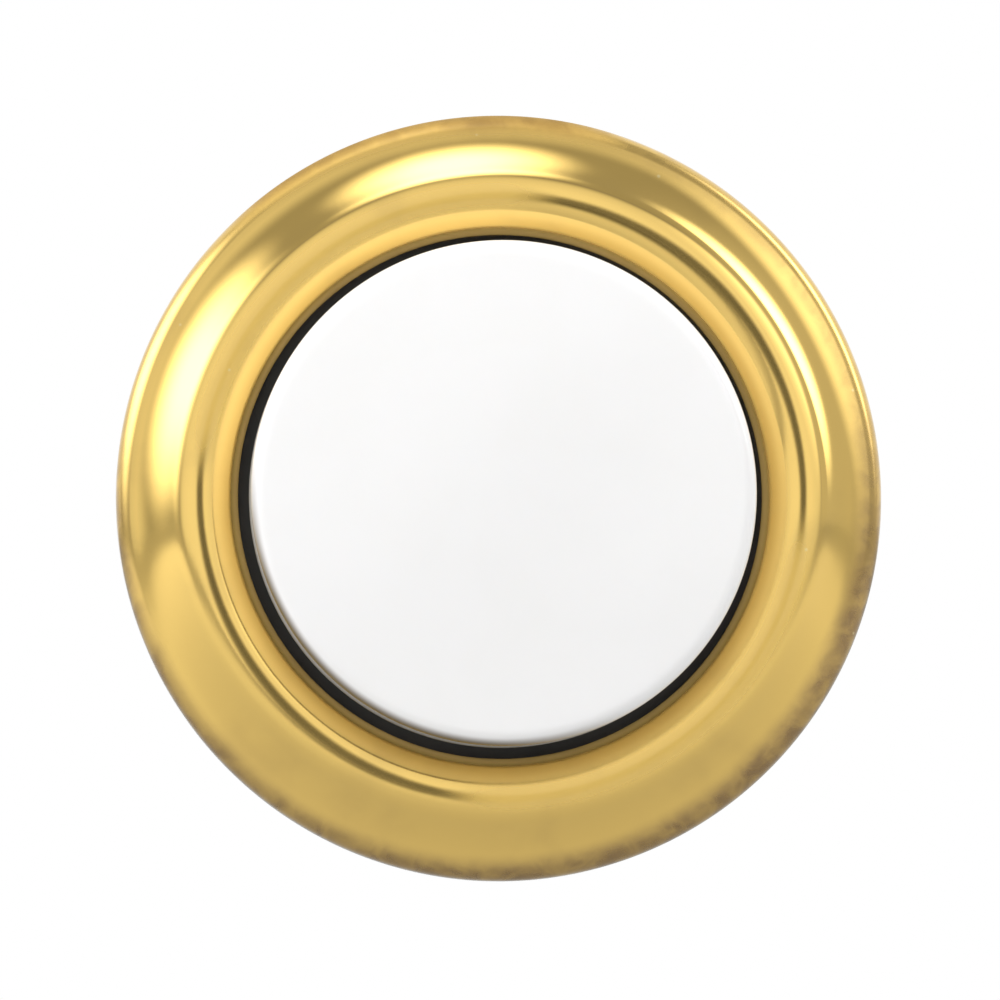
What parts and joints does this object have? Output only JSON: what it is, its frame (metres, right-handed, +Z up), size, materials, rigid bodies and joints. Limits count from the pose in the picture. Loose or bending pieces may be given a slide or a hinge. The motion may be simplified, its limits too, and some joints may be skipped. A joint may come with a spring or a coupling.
{
  "type": "doorbell push button",
  "caption": "Round recess-mount push button: a large domed white cap in a brass rim with a rounded crown and a coved edge, with a smooth black barrel behind and two screw terminals on its end.",
  "frame": {"origin": "on the button's axis in the wall plane, where the rim and the housing's flange seat", "axes": "+Y into the wall along the barrel, -Y the way the button faces, +Z up, +X to the right of someone facing the button"},
  "size_m": [0.0254, 0.029, 0.0254],
  "materials": {
    "rim_brass": "polished, lacquered",
    "housing_black": "moulded satin",
    "button_white": "smooth, slightly translucent",
    "spring_steel": "drawn wire",
    "bridge_bronze": "stamped phosphor bronze",
    "contact_silver": "silver plated",
    "block_brown": "moulded phenolic",
    "terminal_brass": "stamped, dull",
    "screw_steel": "zinc plated",
    "lamp_glass": "clear",
    "holder_white": "natural nylon",
    "lead_wire": "tinned wire"
  },
  "bodies": {
    "base": {"rim": "rim_brass", "housing": "housing_black", "return_spring": "spring_steel", "terminal_block": "block_brown", "lamp": "lamp_glass", "lamp_holder": "holder_white", "left_contact": "contact_silver", "left_terminal": "terminal_brass", "left_terminal_screw": "screw_steel", "left_lamp_lead": "lead_wire", "right_contact": "contact_silver", "right_terminal": "terminal_brass", "right_terminal_screw": "screw_steel", "right_lamp_lead": "lead_wire"},
    "button": {"button": "button_white", "contact_bridge": "bridge_bronze"}
  },
  "joints": [
    {"name": "button_press", "type": "slide", "parent": "base", "child": "button", "axis": [0, 1, 0], "range_m": [0, 0.0012], "stiffness_N_per_m": 500, "springref_m": -0.0028, "deforming": ["return_spring"]}
  ]
}
